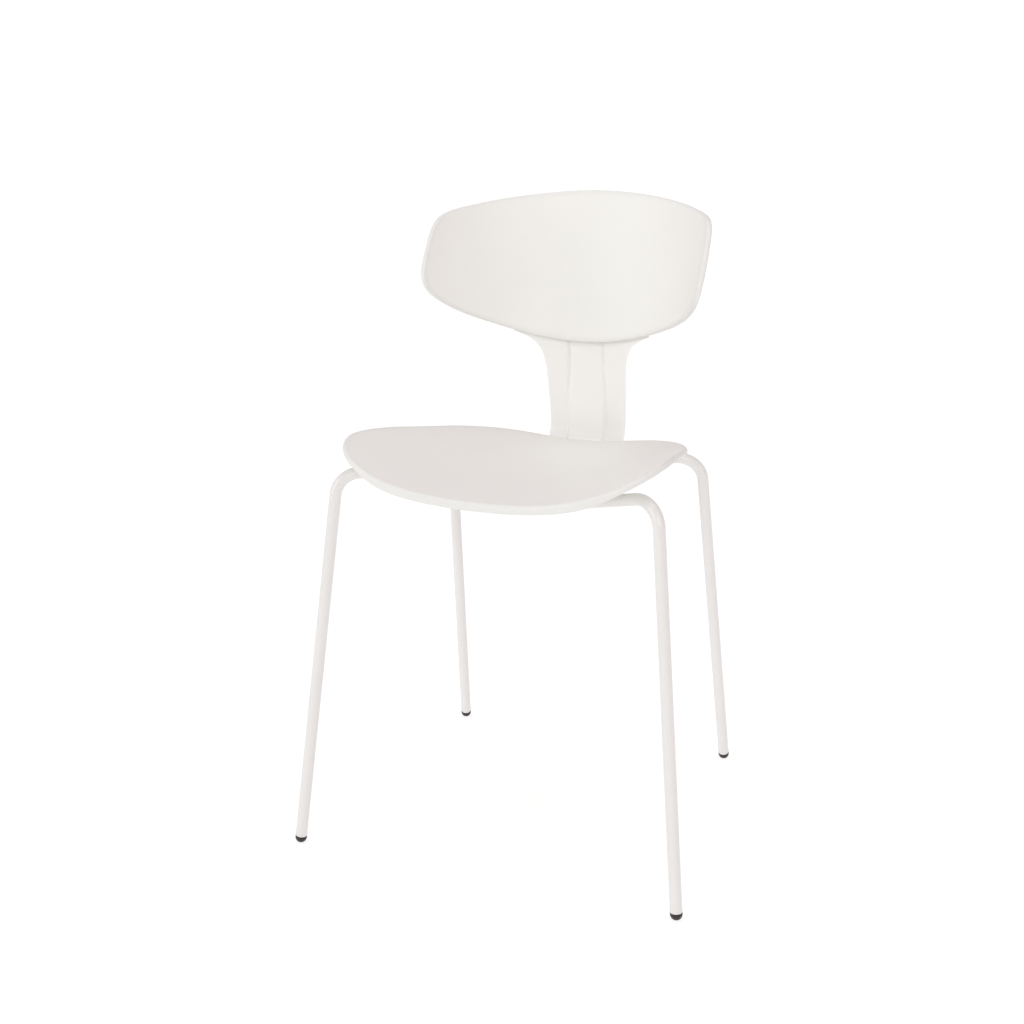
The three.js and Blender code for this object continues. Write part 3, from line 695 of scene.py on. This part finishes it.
# ---------------------------------------------------------------- leg frames
CROSS_HEIGHT = TONGUE_TOP - SPINE_THICKNESS - GAP - TUBE_RADIUS


def foot_point(leg):
    return Vector((leg["foot"][0], leg["foot"][1], 0))


def leg_direction(leg):
    return Vector((leg["lean"][0], leg["lean"][1], 1)).normalized()


def run_ends(leg):
    """The leg's upper corner, and the kink where its slanting run turns level."""
    direction = leg_direction(leg)
    corner = foot_point(leg) + direction * leg["corner"] / direction.z
    return corner, Vector((CROSS_HALF, leg["cross_y"], CROSS_HEIGHT))


def rounded_corner(before, corner, after, radius, steps):
    """Points of the arc that rounds off a corner, from its start to its end."""
    inward, outward = (corner - before).normalized(), (after - corner).normalized()
    turn = inward.angle(outward)
    start = corner - inward * radius * math.tan(turn / 2)
    side = (outward - inward * inward.dot(outward)).normalized()
    points = []
    for i in range(steps + 1):
        angle = turn * i / steps
        points.append(start + inward * radius * math.sin(angle) + side * radius * (1 - math.cos(angle)))
    return points


def tube_path(leg):
    """Points along a frame's middle line: up the right leg, across under the seat and down the left."""
    direction = leg_direction(leg)
    start = foot_point(leg) + direction * (GLIDE["top"] + GAP)
    corner, kink = run_ends(leg)
    middle = Vector((0, leg["cross_y"], CROSS_HEIGHT))
    half = [start] + rounded_corner(start, corner, kink, leg["bend"], BEND_STEPS)
    half += rounded_corner(corner, kink, middle, KINK_RADIUS, KINK_STEPS)
    path = []
    for a, b in zip(half, half[1:]):
        pieces = max(1, round((b - a).length / TUBE_SPACING))
        path += [a.lerp(b, k / pieces) for k in range(pieces)]
    path += [half[-1], middle]
    mirrored = [Vector((-p.x, p.y, p.z)) for p in reversed(path[:-1])]
    return path + mirrored


def swept(path, section):
    """Rings of a closed (across, up) section carried along a path without twist."""
    rings = []
    tangent = (path[1] - path[0]).normalized()
    side = tangent.orthogonal().normalized()
    for i, p in enumerate(path):
        ahead = (path[min(i + 1, len(path) - 1)] - path[max(i - 1, 0)]).normalized()
        side = (side - ahead * side.dot(ahead)).normalized()
        up = ahead.cross(side)
        rings.append([p + side * a + up * b for a, b in section])
    return rings


def tube_piece(name, leg, node):
    path = tube_path(leg)
    circle = unit_circle(TUBE_SIDES)
    outer = swept(path, [(TUBE_RADIUS * a, TUBE_RADIUS * b) for a, b in circle])
    inner = swept(path, [(TUBE_BORE * a, TUBE_BORE * b) for a, b in circle])
    ends = []
    for index, neighbour in ((0, 1), (-1, -2)):
        ahead = (path[neighbour] - path[index]).normalized()
        centre = path[index]
        ends.append([centre + (p - centre) * (1 - TUBE_LIP / TUBE_RADIUS) for p in outer[index]])
        outer[index] = [p + ahead * TUBE_LIP for p in outer[index]]
    rings = [ends[0]] + outer + [ends[1]] + inner[::-1]
    points = [p for ring in rings for p in ring]
    faces = grid_faces(len(rings), TUBE_SIDES, closed_columns=True)
    base = (len(rings) - 1) * TUBE_SIDES
    for j in range(TUBE_SIDES):
        k = (j + 1) % TUBE_SIDES
        faces.append((base + j, base + k, k, j))
    return new_piece(name, points, faces, TUBE_PAINT_SHADED, [node])


def weld_piece(name, cross_y, side):
    """A fillet weld along one side of a level run, where the spine's tongue sits on the tube."""
    radius, half, steps, sides = (WELD[key] for key in ("radius", "half", "steps", "sides"))
    path, sizes = [], []
    for i in range(steps + 1):
        x = -half + 2 * half * i / steps
        y = cross_y + side * WELD["aside"]
        path.append(Vector((x, y, TONGUE_TOP - SPINE_THICKNESS - WELD["below"])))
        tail = math.sqrt(max(0.0, 1 - (x / half) ** WELD_TAPER))
        ripple = 1 + WELD_RIPPLE[0] * math.sin(x * WELD_RIPPLE[1] + side)
        sizes.append(max(WELD_LEAST, tail) * ripple)
    points = []
    section = [(radius * a, radius * b) for a, b in unit_circle(sides)]
    for centre, ring, size in zip(path, swept(path, section), sizes):
        points += [centre + (p - centre) * size for p in ring]
    points += [path[0], path[-1]]
    faces = grid_faces(steps + 1, sides, closed_columns=True)
    last = len(points) - 1
    base = steps * sides
    faces += [((j + 1) % sides, j, last - 1) for j in range(sides)]
    faces += [(base + j, base + (j + 1) % sides, last) for j in range(sides)]
    new_piece(name, points, faces, TUBE_PAINT_SHADED)


# ---------------------------------------------------------------- glides and buffers
def glide_piece(end, hand):
    """A glide: a dome that the floor flattens, a rounded collar, and a stem up inside the tube."""
    leg = FRAMES[end]
    radius, centre = GLIDE["radius"], GLIDE["centre"]
    top, stem, stem_top = GLIDE["top"], GLIDE["stem"], GLIDE["stem_top"]
    profile = [(0, centre - radius)]
    for i in range(1, GLIDE_STEPS + 1):
        angle = -math.pi / 2 + math.pi / 2 * i / GLIDE_STEPS
        profile.append((radius * math.cos(angle), centre + radius * math.sin(angle)))
    edge, bevel, root, tip = (GLIDE[key] for key in ("edge", "bevel", "root", "tip"))
    profile += [(radius, top - edge), (radius - bevel, top - bevel), (radius - edge, top)]
    profile += [(stem + root[0], top), (stem, top + root[1])]
    profile += [(stem, stem_top - tip[1]), (stem - tip[0], stem_top), (0, stem_top)]
    points, faces = turned(profile, TUBE_SIDES)
    sign = 1 if hand == "right" else -1
    direction = leg_direction(leg)
    direction.x *= sign
    placed = aimed(points, (leg["foot"][0] * sign, leg["foot"][1], 0), direction)
    placed = [(x, y, max(0.0, z)) for x, y, z in placed]
    name = f"glide_{end}_{hand}"
    return new_piece(name + "_fine", placed, faces, MOULDING, [name])


def buffer_piece(end, hand):
    """A clip round the slanting run of a tube, open downwards."""
    leg = FRAMES[end]
    x, outer = BUFFERS[end]
    sign = 1 if hand == "right" else -1
    corner, kink = run_ends(leg)
    middle = corner.lerp(kink, (corner.x - x) / (corner.x - kink.x))
    run = (corner - kink).normalized()
    middle.x *= sign
    run.x *= sign
    down = (Vector((0, 0, -1)) + run * run.z).normalized()
    across = run.cross(down)
    inner = TUBE_RADIUS + GAP
    arc = []
    for i in range(BUFFER_STEPS + 1):
        angle = BUFFER_MOUTH + (2 * math.pi - 2 * BUFFER_MOUTH) * i / BUFFER_STEPS
        arc.append((math.cos(angle), math.sin(angle)))
    loop = [(outer * a, outer * b) for a, b in arc] + [(inner * a, inner * b) for a, b in arc[::-1]]
    points = []
    for s in range(BUFFER_STATIONS):
        along = BUFFER_LENGTH * (s / (BUFFER_STATIONS - 1) - 0.5)
        points += [middle + down * a + across * b + run * along for a, b in loop]
    columns = len(loop)
    faces = grid_faces(BUFFER_STATIONS, columns, closed_columns=True)
    base = (BUFFER_STATIONS - 1) * columns
    for j in range(BUFFER_STEPS):
        k = columns - 1 - j
        faces.append((j + 1, j, k, k - 1))
        faces.append((base + j, base + j + 1, base + k - 1, base + k))
    name = f"seat_buffer_{end}_{hand}"
    piece = new_piece(name + "_fine", points, faces, SOFT, [name])
    soften_edges(piece, BUFFER_EDGE)
    return piece


# ---------------------------------------------------------------- screws and bosses
def screw_piece(name, sizes, position, direction):
    """A button head with a hexagon socket, its seat at z = 0 and its shank below."""
    head, height, shank, length = (sizes[key] for key in ("head", "height", "shank", "length"))
    collar = height * SCREW_COLLAR
    profile = [(shank - SCREW_TIP, -length, 0.0), (shank, -length + SCREW_TIP, 0.0), (shank, 0, 0.0)]
    profile += [(head - SCREW_EDGE, 0, 0.0), (head, SCREW_EDGE, 0.0), (head, collar, 0.0)]
    for i in range(1, SCREW_ROUNDING):
        angle = math.pi / 2 * i / SCREW_ROUNDING
        radius = head * SCREW_CROWN + head * (1 - SCREW_CROWN) * math.cos(angle)
        profile.append((radius, collar + height * (1 - SCREW_COLLAR) * math.sin(angle), 0.0))
    for across, up, extra, hexagon in SCREW_SOCKET:
        profile.append((head * across, height * up + extra, hexagon))
    rings = []
    for radius, z, hexagon in profile:
        ring = []
        for k in range(SCREW_SIDES):
            angle = 2 * math.pi * k / SCREW_SIDES
            flat = math.cos(math.pi / 6) / math.cos((angle % (math.pi / 3)) - math.pi / 6)
            r = radius * (1 + hexagon * (flat - 1))
            ring.append((r * math.cos(angle), r * math.sin(angle), z))
        rings.append(ring)
    points, faces = capped(rings, (0, 0, -length), (0, 0, height * SCREW_FLOOR))
    return new_piece(name + "_fine", aimed(points, position, direction), faces, ZINC, [name])


def boss_piece(name, root, end, radius):
    """A round boss with a flared root and a softened end, which stands round the shank and the insert."""
    axis = end - root
    length = axis.length
    profile = [(0, -BOSS_SKIRT["middle_down"]), (radius + BOSS_SKIRT["out"], -BOSS_SKIRT["down"])]
    steps = BOSS_FLARE["steps"]
    for i in range(1, steps + 1):
        angle = math.pi / 2 * i / steps
        height = BOSS_FLARE["from"] + BOSS_FLARE["up"] * (1 - math.cos(angle))
        profile.append((radius + BOSS_FLARE["out"] * (1 - math.sin(angle)), height))
    edge, bevel = BOSS_END["edge"], BOSS_END["bevel"]
    profile += [(radius, length - edge), (radius - bevel, length - bevel)]
    profile += [(radius - edge, length), (0, length)]
    points, faces = turned(profile)
    return new_piece(name, aimed(points, root, axis), faces, SHELL)


def build_fasteners():
    under = TONGUE_TOP - SPINE_THICKNESS - GAP
    for i, (x, y) in enumerate(SEAT_SCREW_SPOTS, 1):
        screw_piece(f"seat_screw_{i}", SEAT_SCREW, (x, y, under), (0, 0, -1))
        ceiling = seat_surface(x, y).z - SEAT_THICKNESS
        root, end = Vector((x, y, ceiling + BOSS_SINK)), Vector((x, y, TONGUE_TOP + GAP))
        boss_piece(f"seat_boss_{i}", root, end, SEAT_BOSS_RADIUS)
    seat_at = BACK_THICKNESS + HEAD_GAP + SPINE_THICKNESS + GAP
    boss_end = BACK_THICKNESS + HEAD_GAP - BACK_BOSS_CLEARANCE
    for i, (u, z) in enumerate(BACK_SCREW_SPOTS, 1):
        point, outward = behind_back(u, z, seat_at)
        screw_piece(f"back_screw_{i}", BACK_SCREW, point, outward)
        root, _ = behind_back(u, z, BACK_THICKNESS - BOSS_SINK)
        end, _ = behind_back(u, z, boss_end)
        boss_piece(f"back_boss_{i}", root, end, BACK_BOSS_RADIUS)


# ---------------------------------------------------------------- the chair
shell_piece("seat_shell_fine", seat_surface, closed_outline(SEAT_OUTLINE, OUTLINE_POINTS), SEAT_MIDDLE,
            seat_thickness, SHELL, "seat_shell")
shell_piece("backrest_shell_fine", back_surface, closed_outline(BACK_OUTLINE, OUTLINE_POINTS)[::-1],
            BACK_MIDDLE, lambda u, v: BACK_THICKNESS, SHELL, "backrest_shell")
spine_piece()
for end, leg in FRAMES.items():
    tube_piece(f"{end}_leg_frame_fine", leg, f"{end}_leg_frame")
    for hand in ("left", "right"):
        glide_piece(end, hand)
        buffer_piece(end, hand)
for end, leg in FRAMES.items():
    weld_piece(f"weld_{end}_fore", leg["cross_y"], -1)
    weld_piece(f"weld_{end}_aft", leg["cross_y"], 1)
build_fasteners()
for i in range(1, 5):
    for name in (f"seat_insert_{i}", f"back_insert_{i}"):
        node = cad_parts[name]
        node.data.materials.clear()
        node.data.materials.append(BRASS)


# ---------------------------------------------------------------- floor, light and camera
# Lengths here are in metres and angles in degrees, with azimuth 0 straight in front of the chair.
FLOOR_REACH = 14.0
FLOOR_GREYS = ((0.24, 0.24, 0.24), (0.26, 0.26, 0.26))
FLOOR_GLOW = 0.82        # keeps the floor as white as the photo's, with almost no shadow
WORLD = {"colour": (1.0, 0.869, 0.845), "strength": 0.545, "backdrop": 1.05}
# Wide soft lights: azimuth, elevation and spread, then the strengths of red, green and blue.
SUNS = {
    "key": (-27, 25, 16, (0.050, 0.070, 0.065)),
    "fill": (25, 20, 26, (0.425, 0.497, 0.484)),
    "low_left": (-50, 8, 50, (0.890, 0.930, 0.950)),
    "right": (70, 20, 50, (0.290, 0.262, 0.272)),
    "top": (0, 88, 50, (0.861, 0.941, 0.989)),
}
SUN_DISTANCE = 4.0
CAMERA = {"azimuth": 21.3, "elevation": 15.5, "distance": 1.7009, "target": (-0.0408, 0.0, 0.3907)}
LENS = 47.5
SENSOR_WIDTH = 36


def build_floor():
    mesh = bpy.data.meshes.new("floor")
    corners = [(x * FLOOR_REACH, y * FLOOR_REACH, 0) for x, y in ((-1, -1), (1, -1), (1, 1), (-1, 1))]
    mesh.from_pydata(corners, [], [(0, 1, 2, 3)])
    floor = bpy.data.objects.new("floor", mesh)
    bpy.context.scene.collection.objects.link(floor)
    material, nodes, links, shader = new_material("floor_paint")
    cloud = noise_node(nodes, links, object_coordinates(nodes), scale=1.5, detail=2.0)
    links.new(mix_colour(nodes, links, cloud, *FLOOR_GREYS), shader.inputs["Base Color"])
    shader.inputs["Roughness"].default_value = 1.0
    shader.inputs["Specular IOR Level"].default_value = 0.0
    shader.inputs["Emission Color"].default_value = (1, 1, 1, 1)
    shader.inputs["Emission Strength"].default_value = FLOOR_GLOW
    mesh.materials.append(material)


def place_towards(thing, azimuth, elevation, distance, target=(0, 0, 0)):
    """Adds a light or camera to the scene at a distance out from a target, looking back at it."""
    bpy.context.scene.collection.objects.link(thing)
    a, e = math.radians(azimuth), math.radians(elevation)
    out = Vector((math.sin(a) * math.cos(e), -math.cos(a) * math.cos(e), math.sin(e)))
    thing.location = Vector(target) + out * distance
    thing.rotation_mode = "QUATERNION"
    thing.rotation_quaternion = (-out).to_track_quat("-Z", "Y")


def sun_light(name, azimuth, elevation, spread, strengths):
    light = bpy.data.lights.new(name, "SUN")
    strongest = max(strengths)
    light.energy = strongest
    light.color = [s / strongest for s in strengths]
    light.angle = math.radians(spread)
    place_towards(bpy.data.objects.new(name, light), azimuth, elevation, SUN_DISTANCE)


def build_world(colour, strength, backdrop):
    """A soft tinted light from all round, and a plain white backdrop where nothing stands."""
    world = bpy.data.worlds.new("studio")
    bpy.context.scene.world = world
    world.use_nodes = True
    nodes, links = world.node_tree.nodes, world.node_tree.links
    nodes.clear()
    soft = nodes.new("ShaderNodeBackground")
    soft.inputs["Color"].default_value = (*colour, 1)
    soft.inputs["Strength"].default_value = strength
    plain = nodes.new("ShaderNodeBackground")
    plain.inputs["Color"].default_value = (1, 1, 1, 1)
    plain.inputs["Strength"].default_value = backdrop
    seen = nodes.new("ShaderNodeLightPath")
    mix = nodes.new("ShaderNodeMixShader")
    output = nodes.new("ShaderNodeOutputWorld")
    links.new(seen.outputs["Is Camera Ray"], mix.inputs[0])
    links.new(soft.outputs[0], mix.inputs[1])
    links.new(plain.outputs[0], mix.inputs[2])
    links.new(mix.outputs[0], output.inputs["Surface"])


def build_camera():
    data = bpy.data.cameras.new("camera")
    data.lens = LENS
    data.sensor_width = SENSOR_WIDTH
    camera = bpy.data.objects.new("camera", data)
    place_towards(camera, **CAMERA)
    bpy.context.scene.camera = camera


build_floor()
build_world(**WORLD)
for name, settings in SUNS.items():
    sun_light(name, *settings)
build_camera()
bpy.context.scene.view_settings.view_transform = "Standard"
